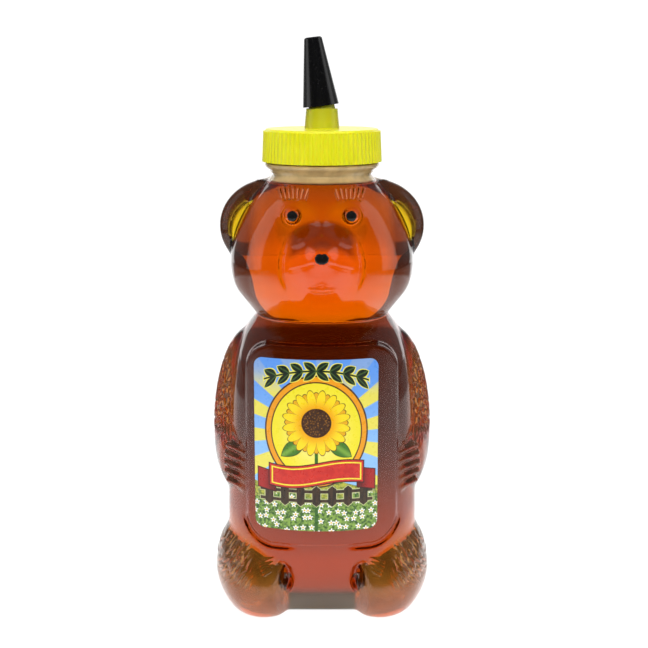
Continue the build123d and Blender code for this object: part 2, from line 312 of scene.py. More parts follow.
def neck(p):
    """The neck and its collar, with the finish above it and one turn of thread."""
    x, y, z = p
    out = norm(x, y)
    slope = (out - NECK_RADIUS) * 0.6 - (z - COLLAR_FOOT) * 0.8
    collar = soft_cut(soft_cut(out - COLLAR_RADIUS, z - COLLAR_TOP, 0.5), slope, 0.5)
    shape = np.minimum(np.maximum(out - NECK_RADIUS, NECK_START - z), collar)
    shape = soft_union(shape, np.maximum(out - FINISH_RADIUS, FINISH_START - z), 0.3)
    turn = np.arctan2(y, x) / (2 * math.pi)
    for lap in (-0.5, 0.5, 1.5):
        run = turn + lap
        ends = span(run, 0, THREAD_TAPER, THREAD_TURNS - THREAD_TAPER, THREAD_TURNS)
        level = THREAD_START + THREAD_PITCH * run
        depth = (THREAD_CREST - FINISH_RADIUS) * ends
        ridge = np.maximum(out - FINISH_RADIUS - depth, np.abs(z - level) - 1.0 + (out - FINISH_RADIUS) * 0.5)
        shape = np.where(ends > 0.02, soft_union(shape, ridge, 0.3), shape)
    return shape


def outer_skin(p):
    shape = bear(p)
    if float(p[2].max()) > NECK_START:
        shape = soft_union(shape, neck(p), 0.8)
    return shape


def inner_skin(p):
    """The inside of the wall, with the bore that runs up through the neck."""
    bore = np.maximum(norm(p[0], p[1]) - BORE_RADIUS, BORE_START - p[2])
    return soft_union(bear(p) + WALL, bore, 0.8)


def strokes(u, v, width, length, lean, seed):
    """Heights from 0 to 1 of pointed strokes of fur, strewn over a flat map with u and v in millimetres.
    They lean from +v towards -u."""
    turn_c, turn_s = cos_sin(lean)
    a, b = (u * turn_c + v * turn_s) / width, (v * turn_c - u * turn_s) / length
    height = np.zeros_like(a)
    for da in (-1, 0, 1):
        for db in (-1, 0, 1):
            ca, cb = np.floor(a) + da, np.floor(b) + db
            wild = np.sin(ca * 127.1 + cb * 311.7 + seed) * 43758.5453
            one, two, three = wild % 1, (wild * 7.13) % 1, (wild * 3.71) % 1
            x = a - ca - 0.3 - 0.4 * one
            y = b - cb - 0.3 - 0.4 * two
            x, y = x + y * (three - 0.5) * 0.9 + 0.7 * y * y, y * (0.8 + 0.4 * one)
            half = 0.4 * np.clip(1 - (1.8 * y) ** 2, 0, 1)
            crest = np.clip(1 - (x / np.maximum(half, TINY)) ** 2, 0, 1)
            height = np.maximum(height, crest * np.clip(half / 0.3, 0, 1))
    return height


def line_relief(distance, half_width):
    """A rounded ridge beside a line, from the distance to the line."""
    return np.exp(-((distance / half_width) ** 2))


def face_relief(x, z):
    """Brows, rings round the eyes, folds beside the muzzle, and the mouth, on a front view of the face."""
    m = np.abs(x)
    height = np.zeros_like(x)
    for hair in range(HAIRS):
        top = 146.3 - 0.09 * (hair - 2.5) ** 2
        gap = rod((m, z), (12.9 - 1.2 * hair, top - 3.1), (14.1 - 1.57 * hair, top), 0, 0)
        height += 0.8 * line_relief(gap, 0.5)
    eye = norm(m - EYE[0], z - EYE[1])
    height -= 0.3 * line_relief(eye - 3.0, 0.45)
    height += 0.25 * line_relief(eye - 4.0, 0.5) * fade(m, 8, 12)
    fold = norm(m * 1.05, z - 122) - 13.9
    height -= 0.8 * line_relief(fold, 0.7) * fade(m, 11, 12.6)
    line = rod((m, z), (2.8, 123.4), (9.8, 120.8), 0, 0)
    height -= 0.35 * line_relief(line, 0.5)
    smile = z - 114.3 - 0.035 * x * x
    height -= 1.0 * line_relief(smile, 0.62) * (1 - fade(m, 2.4, 4.8))
    lip = rod((m, z), (0, 117.0), (4.2, 115.0), 0, 0)
    height += 0.3 * line_relief(lip, 0.5) * (1 - fade(m, 2.6, 4.4))
    return height


def relief(p):
    """How far the fine relief stands out of the plain skin. Fur is cut in between its strokes."""
    x, y, z = p
    m = np.abs(x)
    front = fade(-y, 12, 17) * fade(z, 104, 108)
    height = face_relief(x, z) * front
    arm_round = np.arctan2(-(y - 1.5), m - 22) * 13
    fur = strokes(arm_round, z, 1.6, 3.2, ARM_FUR_LEAN, 3.0)
    on_arm = fade(m, 30.3, 31.8) * span(z, 58, 64, 86, 93) * fade(-y, -16, -10)
    height = height + 1.5 * FUR_DEPTH * (fur - 1) * on_arm
    fur = strokes(m, z, 1.5, 5.2, THIGH_FUR_LEAN, 8.0)
    on_thigh = span(z, 12, 15, 26, 30) * fade(m, 22, 27) * fade(-y, 0, 6)
    height = height + FUR_DEPTH * (fur - 1) * on_thigh
    for toe in range(TOES):
        low = (20.8 - 0.5 * toe, 22.0 - 1.2 * toe)
        high = (16.4 + 0.2 * toe, 23.4 - 1.3 * toe)
        line = rod((m, z), low, high, 0, 0)
        height = height + 0.3 * line_relief(line, 0.5) * fade(-y, 18, 22)
    crevice = line_relief(panel_outline(m, z) - 0.9, 0.8)
    under_panel = fade(m, 7, 15) * (1 - fade(z, 33, 38)) * fade(-y, 18, 22)
    return height - 1.1 * crevice * under_panel


def skin_with_relief(p):
    return outer_skin(p) - relief(p)


def sample(shape, low, high, step):
    """The field on a grid, worked out in slices from the bottom up."""
    axes = [np.arange(a, b + step, step, dtype=np.float32) for a, b in zip(low, high)]
    x, y = axes[0][:, None, None], axes[1][None, :, None]
    field = np.empty([len(axis) for axis in axes], np.float32)
    for start in range(0, len(axes[2]), SLAB):
        z = axes[2][None, None, start : start + SLAB]
        field[:, :, start : start + SLAB] = shape((x, y, z))
    return axes, field


def net(shape, low, high, step):
    """A mesh over the field's surface: one point in each grid cell that the surface crosses, and a square
    across each grid edge that it crosses."""
    axes, field = sample(shape, low, high, step)
    inside = field < 0
    corners = [(i, j, k) for i in (0, 1) for j in (0, 1) for k in (0, 1)]
    size = [n - 1 for n in field.shape]

    def corner_view(array, corner):
        return array[tuple(slice(c, c + n) for c, n in zip(corner, size))]

    count = sum(corner_view(inside, corner).astype(np.int8) for corner in corners)
    crossed = (count > 0) & (count < 8)
    cells = np.argwhere(crossed)
    number = np.full(size, -1, np.int64)
    number[crossed] = np.arange(len(cells))
    values = {corner: corner_view(field, corner)[crossed] for corner in corners}
    total, hits = np.zeros((len(cells), 3)), np.zeros(len(cells))
    for a in corners:
        for axis in range(3):
            if a[axis] == 1:
                continue
            b = tuple(1 if i == axis else c for i, c in enumerate(a))
            va, vb = values[a], values[b]
            cut = (va < 0) != (vb < 0)
            share = va[cut] / (va[cut] - vb[cut])
            spot = np.tile(np.array(a, float), (len(share), 1))
            spot[:, axis] += share
            total[cut] += spot
            hits[cut] += 1
    points = (cells + total / hits[:, None]) * step + np.array([axis[0] for axis in axes])
    faces = []
    for axis in range(3):
        one, two = (axis + 1) % 3, (axis + 2) % 3
        first = [slice(None)] * 3
        second = [slice(None)] * 3
        first[axis], second[axis] = slice(0, -1), slice(1, None)
        change = inside[tuple(first)].astype(np.int8) - inside[tuple(second)].astype(np.int8)
        for sign in (1, -1):
            spots = np.argwhere(change == sign)
            keep = (spots[:, one] > 0) & (spots[:, two] > 0)
            keep &= (spots[:, one] < size[one]) & (spots[:, two] < size[two])
            spots = spots[keep]
            ring = []
            for back_one, back_two in ((0, 0), (1, 0), (1, 1), (0, 1)):
                cell = spots.copy()
                cell[:, one] -= back_one
                cell[:, two] -= back_two
                ring.append(number[cell[:, 0], cell[:, 1], cell[:, 2]])
            faces.append(np.stack(ring if sign > 0 else ring[::-1], axis=1))
    return points, np.concatenate(faces)


def split_finer(points, faces, chosen):
    """Cuts the chosen squares in four. A square beside them is cut into triangles round its middle."""
    corners = [faces, np.roll(faces, -1, axis=1)]
    pairs = np.sort(np.stack(corners, axis=2), axis=2)
    keys = pairs[:, :, 0] * len(points) + pairs[:, :, 1]
    split, where = np.unique(keys[chosen], return_inverse=True)
    middles = (points[split // len(points)] + points[split % len(points)]) / 2
    first_centre = len(points) + len(split)
    number = where.reshape(-1, 4) + len(points)
    centres = np.arange(chosen.sum()) + first_centre
    quads = [
        np.stack([faces[chosen][:, i], number[:, i], centres, number[:, i - 1]], axis=1) for i in range(4)
    ]
    spot = np.clip(np.searchsorted(split, keys), 0, len(split) - 1)
    beside = ~chosen & (split[spot] == keys).any(axis=1)
    near, near_keys, near_spot = faces[beside], keys[beside], spot[beside]
    hubs = np.arange(len(near)) + first_centre + len(centres)
    triangles = []
    for i in range(4):
        here, there = near[:, i], near[:, (i + 1) % 4]
        cut = split[near_spot[:, i]] == near_keys[:, i]
        middle = near_spot[:, i] + len(points)
        triangles.append(np.stack([here[~cut], there[~cut], hubs[~cut]], axis=1))
        triangles.append(np.stack([here[cut], middle[cut], hubs[cut]], axis=1))
        triangles.append(np.stack([middle[cut], there[cut], hubs[cut]], axis=1))
    added = [middles, points[faces[chosen]].mean(axis=1), points[near].mean(axis=1)]
    return np.concatenate([points, *added]), [
        np.concatenate([faces[~chosen & ~beside], *quads]),
        np.concatenate(triangles),
    ]


def finely_worked(p):
    """Where the skin has fine relief: on the face, the arms with their hands, and the legs."""
    x, y, z = p
    m = np.abs(x)
    face = (z > 107) & (z < HONEY_LEVEL - 1.5) & (y < -14) & (m < 19)
    arms = (m > 25) & (z > 42) & (z < 95) & (y < 12)
    legs = (z > 6) & (z < 34) & (m > 8) & (y < -2)
    return face | arms | legs


def settle(points, shape, rounds=SETTLE_ROUNDS):
    """Moves points on to the surface of a shape, along its slope."""
    for _ in range(rounds):
        here = shape(points.T)
        moved = [shape(points.T + FEEL * axis[:, None]) for axis in np.eye(3)]
        slope = (np.stack(moved, axis=1) - here[:, None]) / FEEL
        steep = np.maximum((slope**2).sum(axis=1), SETTLE_SLOPE)
        points = points - np.clip(here / steep, -SETTLE_MOVE, SETTLE_MOVE)[:, None] * slope
    return points


def mesh_piece(name, points, faces, body):
    """A new piece from points in millimetres, smooth-shaded, that rides on a body."""
    data = bpy.data.meshes.new(name)
    rings = [face for kind in faces for face in kind.tolist()]
    data.from_pydata((np.asarray(points) * MM).tolist(), [], rings)
    data.shade_smooth()
    piece = bpy.data.objects.new(name, data)
    bpy.context.scene.collection.objects.link(piece)
    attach(piece, body)
    return piece


def sculpt_bear():
    """Points and faces of the bear's skin from the base to the rim, with its fine relief."""
    low, high = (-41, -40, -1.5), (41, 37, RIM - SKIN_STEP / 2)
    points, faces = net(outer_skin, low, high, SKIN_STEP)
    points, faces = split_finer(points, faces, finely_worked(points[faces].mean(axis=1).T))
    return settle(settle(points, outer_skin, 1), skin_with_relief), faces


def reshape(piece, change):
    """Changes a piece's mesh in place."""
    data = bmesh.new()
    data.from_mesh(piece.data)
    change(data)
    data.to_mesh(piece.data)
    data.free()
    piece.data.shade_smooth()


def close_rim(data):
    """Draws the open edges at the rim in a little, and joins them."""
    rim = [edge for edge in data.edges if edge.is_boundary and edge.verts[0].co.z > (RIM - 2) * MM]
    for vert in {vert for edge in rim for vert in edge.verts}:
        radius = vert.co.xy.length / MM
        target = BORE_RADIUS + 0.2 if radius < (BORE_RADIUS + FINISH_RADIUS) / 2 else FINISH_RADIUS - 0.4
        vert.co = (vert.co.x * target / radius, vert.co.y * target / radius, RIM * MM)
    bmesh.ops.bridge_loops(data, edges=rim)


def level_top(data):
    """Closes the honey with a level top that has a sharp edge."""
    edges = [edge for edge in data.edges if edge.is_boundary]
    for vert in {vert for edge in edges for vert in edge.verts}:
        vert.co.z = HONEY_LEVEL * MM
    bmesh.ops.split_edges(data, edges=bmesh.ops.holes_fill(data, edges=edges)["faces"][0].edges)


def make_bottle(points, faces):
    """The clear bottle. Its inside is modelled where it can be seen, from the honey's surface up."""
    low, high = (-22, -22, HONEY_LEVEL - 2.5), (22, 22, RIM - INSIDE_STEP / 2)
    inner_points, inner_faces = net(inner_skin, low, high, INSIDE_STEP)
    inner_points = settle(inner_points, inner_skin)
    faces = [*faces, inner_faces[:, ::-1] + len(points)]
    points = np.concatenate([points, inner_points])
    bottle = mesh_piece("bottle_skin", points, faces, "filled_bottle")
    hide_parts("bottle")
    reshape(bottle, close_rim)
    return bottle


def make_honey(points, faces):
    """The honey: the bear's skin up to the honey's level, drawn in a little."""
    slope = np.zeros_like(points)
    for kind in faces:
        ring = points[kind]
        across = np.cross(ring[:, 2] - ring[:, 0], ring[:, -1] - ring[:, 1])
        for corner in kind.T:
            np.add.at(slope, corner, across)
    slope /= np.maximum(np.linalg.norm(slope, axis=1, keepdims=True), TINY)
    kept = [kind[(points[kind][:, :, 2] < HONEY_LEVEL).all(axis=1)] for kind in faces]
    used = np.unique(np.concatenate([kind.ravel() for kind in kept]))
    kept = [np.searchsorted(used, kind) for kind in kept]
    honey = mesh_piece("honey_fill", (points - HONEY_INSET * slope)[used], kept, "filled_bottle")
    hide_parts("honey")
    reshape(honey, level_top)
    return honey


def ladder(here, there, width, rows):
    """Squares between rows of points. A row has a width, and here and there are neighbours in it."""
    first = np.stack([here, there, there + width, here + width], axis=1)
    return np.concatenate([first + width * row for row in range(rows)])


def make_cap_thread():
    """The ridge inside the cap, which runs midway between the turns of the neck's thread."""
    runs = np.linspace(CAP_THREAD_START, CAP_THREAD_END, 121)
    ends = span(runs, runs[0], runs[0] + THREAD_TAPER, runs[-1] - THREAD_TAPER, runs[-1])
    crest = CAP_BORE_RADIUS - (CAP_BORE_RADIUS - CAP_THREAD_CREST) * ends
    wall = np.full(len(runs), CAP_BORE_RADIUS + 0.05)
    profile = ((wall, -0.9), (crest, -0.45), (crest, 0.45), (wall, 0.9))
    turn = 2 * math.pi * runs
    level = THREAD_START + THREAD_PITCH * (runs - 0.5)
    rows = [np.stack([out * np.cos(turn), out * np.sin(turn), level + rise], axis=1) for out, rise in profile]
    here = np.arange(len(runs) - 1)
    bands = ladder(here, here + 1, len(runs), len(profile) - 1)
    return mesh_piece("cap_thread", np.concatenate(rows), [bands], "screw_cap")


def on_the_skin(x, z, start):
    """Places in front view, moved along Y from a start on to the bear's skin."""
    y = np.full(len(x), float(start))
    for _ in range(PAINT_ROUNDS):
        here = skin_with_relief((x, y, z))
        rise = (skin_with_relief((x, y + FEEL, z)) - here) / FEEL
        y -= np.clip(here / np.where(np.abs(rise) < 0.2, -0.2, rise), -1, 1)
    return np.stack([x, y, z], axis=1)


def paint_spot(name, node, centre, reach, start):
    """A spot of paint on the skin. Its reach is a function of the angle round its centre."""
    turns = np.linspace(0, 2 * math.pi, PAINT_TURNS, endpoint=False)
    shares = np.concatenate([np.linspace(0.12, 1, PAINT_RINGS), [1.0]])
    out = np.outer(shares, reach(turns))
    x = np.append(centre[0] + out * np.cos(turns), centre[0])
    z = np.append(centre[1] + out * np.sin(turns), centre[1])
    points = on_the_skin(x, z, start)
    points[:, 1] -= PAINT_RISE
    last = PAINT_TURNS * PAINT_RINGS
    points[last:-1, 1] += 2 * PAINT_RISE
    ring = np.arange(PAINT_TURNS)
    beside = np.roll(ring, -1)
    squares = ladder(ring, beside, PAINT_TURNS, PAINT_RINGS)
    fan = np.stack([np.full(PAINT_TURNS, len(points) - 1), beside, ring], axis=1)
    piece = mesh_piece(name, points, [squares, fan], "filled_bottle")
    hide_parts(node)
    return piece


def round_reach(turns):
    return 1.7 + 0.05 * np.sin(5 * turns + 1)


def heart_reach(turns):
    """Wide at the top with a small notch, and narrow at the bottom."""
    up = np.sin(turns)
    notch = np.exp(-(((turns - math.pi / 2) / 0.22) ** 2))
    return 2.0 + 0.22 * np.cos(2 * turns) + 0.1 * up - 0.4 * notch + 0.06 * np.sin(9 * turns)


def make_paints():
    """The dots on the nose and on the eyes."""
    pieces = [paint_spot("nose_dot", "nose_paint", (0, 125.3), heart_reach, -37)]
    for side, name in ((1, "left"), (-1, "right")):
        centre = (side * EYE[0], EYE[1] + 0.2)
        pieces.append(paint_spot(f"eye_dot_{name}", f"eye_paint_{name}", centre, round_reach, -26))
    return pieces


def operation(name, turned=False):
    """A method that joins a Value with a number or another Value."""
    return lambda one, two: one.math(name, *((two, one) if turned else (one, two)))


class Value:
    """A socket of a finish that can be used in sums with numbers and other sockets. up.turn_to(across) is
    the angle of a direction."""

    __add__ = __radd__ = operation("ADD")
    __sub__, __rsub__ = operation("SUBTRACT"), operation("SUBTRACT", turned=True)
    __mul__ = __rmul__ = operation("MULTIPLY")
    __truediv__ = operation("DIVIDE")
    __pow__ = operation("POWER")
    least, most = operation("MINIMUM"), operation("MAXIMUM")
    turn_to = operation("ARCTAN2")

    def __init__(self, finish, socket):
        self.finish, self.socket = finish, socket

    def __abs__(self):
        return self.math("ABSOLUTE", self)

    def math(self, name, *values):
        return self.finish.node("Math", {"operation": name}, dict(enumerate(values)))

    def sine(self):
        return self.math("SINE", self)

    def ramp(self, start, end, low=0.0, high=1.0):
        """low before start, high past end, and smooth between them."""
        inputs = {"Value": self, "From Min": start, "From Max": end, "To Min": low, "To Max": high}
        return self.finish.node("MapRange", {"interpolation_type": "SMOOTHSTEP"}, inputs)

    def fall(self, start, end):
        """1 before start, and 0 past end."""
        return self.ramp(start, end, 1.0, 0.0)

    def span(self, start, full, last, end):
        """0 before start, 1 between full and last, and 0 past end."""
        return self.ramp(start, full) * self.fall(last, end)

    def inside(self, soft=0.09):
        """1 where a distance is under zero, with a soft edge."""
        return self.fall(-soft, soft)


class Finish:
    """A material, or the light of the room, built from nodes."""

    def __init__(self, owner, coordinates="Object", scale=1 / MM):
        self.material = owner
        owner.use_nodes = True
        self.tree = owner.node_tree
        self.tree.nodes.clear()
        place = self.node("TexCoord", output=coordinates)
        self.place = self.node("VectorMath", {"operation": "SCALE"}, {0: place, "Scale": scale})
        self.x, self.y, self.z = self.parts(self.place)

    def parts(self, vector):
        split = self.node("SeparateXYZ", {}, {0: vector}).socket.node
        return [Value(self, socket) for socket in split.outputs]

    def node(self, kind, settings={}, inputs={}, output=0):
        made = self.tree.nodes.new("ShaderNode" + kind)
        for name, setting in settings.items():
            setattr(made, name, setting)
        for name, value in inputs.items():
            if isinstance(value, Value):
                self.tree.links.new(value.socket, made.inputs[name])
            elif isinstance(value, tuple) and made.inputs[name].type == "RGBA":
                made.inputs[name].default_value = (*value, 1)
            else:
                made.inputs[name].default_value = value
        return Value(self, made.outputs[output])

    def mix(self, share, a, b):
        """Colour a turned to colour b by a share."""
        return self.node("Mix", {"data_type": "RGBA"}, {0: share, 6: a, 7: b}, output=2)

    def layers(self, colour, *shares_and_colours):
        """A colour with others laid over it, each by its share."""
        for share, other in shares_and_colours:
            colour = self.mix(share, colour, other)
        return colour

    def noise(self, scale, detail=2.0, roughness=0.5, place=None):
        inputs = {"Vector": place or self.place, "Scale": scale, "Detail": detail, "Roughness": roughness}
        return self.node("TexNoise", {}, inputs)

    def bump(self, height, distance, strength):
        return self.node("Bump", {}, {"Height": height, "Distance": distance * MM, "Strength": strength})

    def shader(self, colour, roughness, normal=None, **constants):
        inputs = {"Base Color": colour, "Roughness": roughness}
        inputs.update({name.replace("_", " "): value for name, value in constants.items()})
        if normal:
            inputs["Normal"] = normal
        return self.node("BsdfPrincipled", {}, inputs)

    def close(self, kind="Material", **ends):
        """Joins shaders for the surface and the volume to the output, and gives the material."""
        out = self.tree.nodes.new("ShaderNodeOutput" + kind)
        for name, end in ends.items():
            self.tree.links.new(end.socket, out.inputs[name])
        return self.material

    def surface(self, *looks, **constants):
        """Ends the material with one Principled shader, and gives the material."""
        return self.close(Surface=self.shader(*looks, **constants))


def finish(name):
    return Finish(bpy.data.materials.new(name))


def wear(piece, material):
    piece.data.materials.clear()
    piece.data.materials.append(material)


def ellipse(place, middle, half):
    """1 on an ellipse or an ellipsoid, less inside it and more outside."""
    return sum(((at - centre) / size) ** 2 for at, centre, size in zip(place, middle, half))


def mould_waves(f):
    """Faint waves and grain that a blown wall takes from its mould."""
    return f.bump(f.noise(0.12, 1.0) + f.noise(1.6) * 0.02, 0.12, 0.6)


def clear_plastic():
    """Blown PET. It is all but unseen where honey wets it, and glossy in the neck, with a faint milky layer
    there whose tan colour is painted light seen through the neck.
    """
    f = finish("clear_plastic")
    dry = f.z.ramp(HONEY_LEVEL - 0.6, HONEY_LEVEL + 0.2, 0.05, 1.0)
    rough = f.noise(0.4).ramp(0.3, 0.8, 0.02, 0.07)
    normal = mould_waves(f)
    clear = f.shader((0.97, 0.93, 0.85), rough, normal, Alpha=dry, IOR=PET_IOR, Transmission_Weight=1.0)
    # A milky layer in the neck, whose tan colour is painted light
    haze_and_painted_light_layer = f.shader((0.98, 0.72, 0.32), 0.15, normal, IOR=PET_IOR)
    haze_and_painted_light_share = f.z.ramp(HONEY_LEVEL, HONEY_LEVEL + 1.0) * f.noise(0.3).ramp(0.3, 0.7, 0.5, 0.66)
    return f.close(Surface=f.node("MixShader", {}, {0: haze_and_painted_light_share, 1: clear, 2: haze_and_painted_light_layer}))


def ear_parts(f):
    """1 on the thick rims of the ears, where shade is painted, and 1 on the thin floors of their dishes,
    which let light through, painted there as a yellow glow.
    """
    m = abs(f.x)
    from_head = ellipse((m, f.y, f.z), HEAD, HEAD_HALF)
    dish = ellipse((m, f.z), DISH, DISH_HALF)
    rims = dish.ramp(1.0, 1.2) * from_head.ramp(1.02, 1.06) * m.ramp(17.5, 20) * f.z.ramp(112, 116)
    floors = dish.fall(0.9, 1.04) * from_head.ramp(0.985, 1.0) * f.y.span(-6.5, -5, 4.5, 6.5)
    return rims * f.y.ramp(-12, -9), floors


def brow_hairs(f):
    """1 on the crests of the brows' hairs, which fan out from a point under the eye: a painted highlight
    where they catch the light.
    """
    across, up = abs(f.x) - BROW_FAN[0], f.z - BROW_FAN[1]
    turn = across.turn_to(up)
    crest = (turn * 52.4 + 0.1).sine().ramp(0.1, 0.8)
    return crest * abs(turn).fall(0.38, 0.44) * up.span(9.7, 10.2, 12.9, 13.4)


def fur_tips(f, lean, width, length):
    """1 on painted highlights, strokes of light that the tips of the fur catch. They lean as the fur does."""
    m, (turn_c, turn_s) = abs(f.x), cos_sin(lean)
    across, along = m * turn_c + f.z * turn_s, f.z * turn_c - m * turn_s
    place = f.node("CombineXYZ", {}, {0: across / width, 1: f.y / (2 * width), 2: along / length})
    return f.noise(1.0, 1.0, place=place).ramp(0.54, 0.64)


def honey_parts(f):
    """Shares that tell where limbs, brows and ears lie. The band is the low gap between the feet."""
    m = abs(f.x)
    front = f.y.fall(-20, -12)
    sole = ellipse((m, f.z), (10.4, 16.0), (4.3, 5.4)).fall(0.85, 1.05)
    arm_tips = fur_tips(f, ARM_FUR_LEAN, 0.9, 2.0) * m.ramp(30.3, 31.8) * f.z.span(60, 65, 85, 92)
    thigh_tips = fur_tips(f, THIGH_FUR_LEAN, 0.8, 3.0) * m.ramp(22, 26) * f.z.span(12, 15, 27, 31)
    rims, dishes = ear_parts(f)
    return {
        "arms": m.ramp(28, 31) * f.z.span(38, 44, 90, 97),
        "hands": m.ramp(25, 28) * f.z.span(40, 46, 60, 66),
        "feet": m.ramp(10.5, 12.5) * (f.z - m * 0.8).fall(8, 12) * f.y.fall(0, 8),
        "soles": sole * m.ramp(10.0, 10.5) * front,
        "band": m.fall(11, 14) * f.z.fall(9.5, 14.5) * front,
        "tips": arm_tips.most(thigh_tips) * f.y.fall(-3, 3),
        "brows": brow_hairs(f) * front,
        "rims": rims,
        "dishes": dishes,
    }


def head_painted_shade(f, part):
    """Painted shade on the clear head, standing in for the dim light that comes up to it through the trunk: a
    little off its middle above its lower part, more in its crown and its sides, on top of the muzzle, and in
    the thick rims of the ears."""
    m = abs(f.x)
    bow = f.z + f.x * f.x * 0.035
    sides = m.ramp(20, 25) * f.z.span(118.5, 120.5, 139, 146) * abs(f.y - EAR[1]).ramp(6, 9)
    muzzle = bow.span(126.8, 129.8, 135.2, 137.2) * m.fall(8.5, 13) * f.y.fall(-16, -12)
    return f.layers(
        WHITE,
        # Painted shade: off the middle above the lower head, in the crown, on the sides, on top of the muzzle
        # and on the ears' rims
        (f.z.ramp(113, 119) * m.ramp(10, 17), (0.74, 0.68, 1.0)),
        (f.z.ramp(139, 145) * m.fall(18, 24), (0.6, 0.5, 0.8)),
        (sides, (0.24, 0.16, 0.1)),
        (muzzle, (0.17, 0.14, 0.13)),
        (part["rims"], (0.3, 0.26, 0.22)),
    )


def trunk_painted_shade(f, part):
    """Painted shade in the trunk: dark, most of all high up, lighter low down and in the thin limbs, and dark
    again on the low band between the feet and on the soles.
    """
    return f.layers(
        # Painted shade: dark high in the trunk, lighter low down and in the limbs, darker on the low band and
        # the soles
        (0.11, 0.12, 0.09),
        (f.z.fall(16, 62), (0.68, 0.68, 0.48)),
        ((part["arms"] + part["feet"]) * 0.8, (0.95, 0.85, 0.75)),
        (part["band"], (0.01, 0.11, 0.1)),
        (part["soles"], (0.3, 0.15, 0.08)),
    )


def honey_cloud_and_painted_tones(f, part):
    """How much of the skin is a cloudy layer, and its colour there: a milky tone in the feet that is partly
    cloudy honey and partly painted reflection, a little cloud in the arms, a painted pink reflection on the
    hands, painted shade on the ears' rims, painted yellow light in their dishes, and painted highlights where
    brows and fur catch the light."""
    tone = f.layers(
        (0.62, 0.2, 0.08),
        (f.z.ramp(8, 18), (0.66, 0.25, 0.03)),
        # Painted shade, which shows on the ears' rims, the only cloudy places this high that keep it
        (f.z.ramp(100, 110), (0.08, 0.026, 0.01)),
        # Painted reflection on the hands, painted highlights on fur tips and brows, and painted yellow light
        # in the ears' dishes
        (part["hands"], (0.6, 0.28, 0.17)),
        (part["tips"], (0.72, 0.36, 0.12)),
        (part["brows"], (0.85, 0.33, 0.17)),
        (part["dishes"], (1.0, 0.7, 0.018)),
    )
    share = part["feet"] * (1 - part["soles"]) * f.z.ramp(10, 20, 0.45, 0.2)
    for name, most in (("hands", 0.1), ("arms", 0.15), ("rims", 0.85), ("tips", 0.5), ("brows", 0.5)):
        share = share.most(part[name] * most)
    patchiness = f.noise(0.18, 3.0).ramp(0.3, 0.7, 0.8, 1.2)
    return (share * patchiness).most(part["dishes"] * 0.92), tone


def honey_finish():
    """Raw honey: a clear orange volume whose skin carries painted shade and painted light, and which is
    cloudy in places.
    """
    f = finish("raw_honey")
    part = honey_parts(f)
    # Where the trunk's painted shade takes over from the head's, at a level that slants down to the back
    in_trunk = (f.z + f.y * 0.26).fall(94.5, 97)
    colour = f.mix(in_trunk, head_painted_shade(f, part), trunk_painted_shade(f, part))
    rough = f.noise(0.4).ramp(0.3, 0.8, 0.02, 0.05)
    normal = mould_waves(f)
    clear = f.shader(colour, rough, normal, IOR=HONEY_IOR, Transmission_Weight=1.0)
    cloud_and_painted_share, tone = honey_cloud_and_painted_tones(f, part)
    cloud_and_painted_layer = f.shader(tone, 0.12, normal, IOR=HONEY_IOR, Specular_IOR_Level=0.25)
    volume = f.node("VolumeAbsorption", {}, {"Color": (0.978, 0.88, 0.0), "Density": 370.0})
    return f.close(Surface=f.node("MixShader", {}, {0: cloud_and_painted_share, 1: clear, 2: cloud_and_painted_layer}), Volume=volume)


def yellow_plastic():
    """Polypropylene, deeper in colour at the thin spout and faintly clouded by its moulding."""
    f = finish("yellow_plastic")
    spout = f.z.ramp(CAP_TOP - 0.2, CAP_TOP + 0.6)
    skirt = f.mix(f.noise(0.12).ramp(0.35, 0.65), (0.87, 0.84, 0.013), (0.91, 0.87, 0.022))
    colour = f.mix(spout, skirt, (0.6, 0.59, 0.017))
    normal = f.bump(f.noise(3.0), 0.02, 0.3)
    rough = f.noise(0.8).ramp(0.3, 0.7, 0.28, 0.36)
    return f.surface(colour, rough, normal, Subsurface_Weight=0.15, Subsurface_Scale=0.002, IOR=CAP_IOR)


def black_plastic():
    """Polyethylene with a soft shine and faint scuffs round it."""
    f = finish("black_plastic")
    scuffs = f.noise(1.2, 4.0, 0.6)
    colour = f.mix(scuffs.ramp(0.5, 0.8), (0.004, 0.004, 0.0045), (0.01, 0.01, 0.01))
    normal = f.bump(f.noise(2.5), 0.015, 0.3)
    return f.surface(colour, scuffs.ramp(0.3, 0.8, 0.17, 0.3), normal, IOR=TIP_IOR)


def foam():
    """Closed-cell foam."""
    f = finish("white_foam")
    cells = f.node("TexVoronoi", {}, {"Vector": f.place, "Scale": 2.5})
    return f.surface((0.86, 0.86, 0.83), 0.8, f.bump(cells, 0.06, 0.8))


def black_paint():
    """Printed dots, glossy and a little uneven."""
    f = finish("black_paint")
    rough = f.noise(2.0).ramp(0.3, 0.8, 0.18, 0.3)
    return f.surface((0.008, 0.008, 0.008), rough, f.bump(f.noise(4.0), 0.02, 0.4))


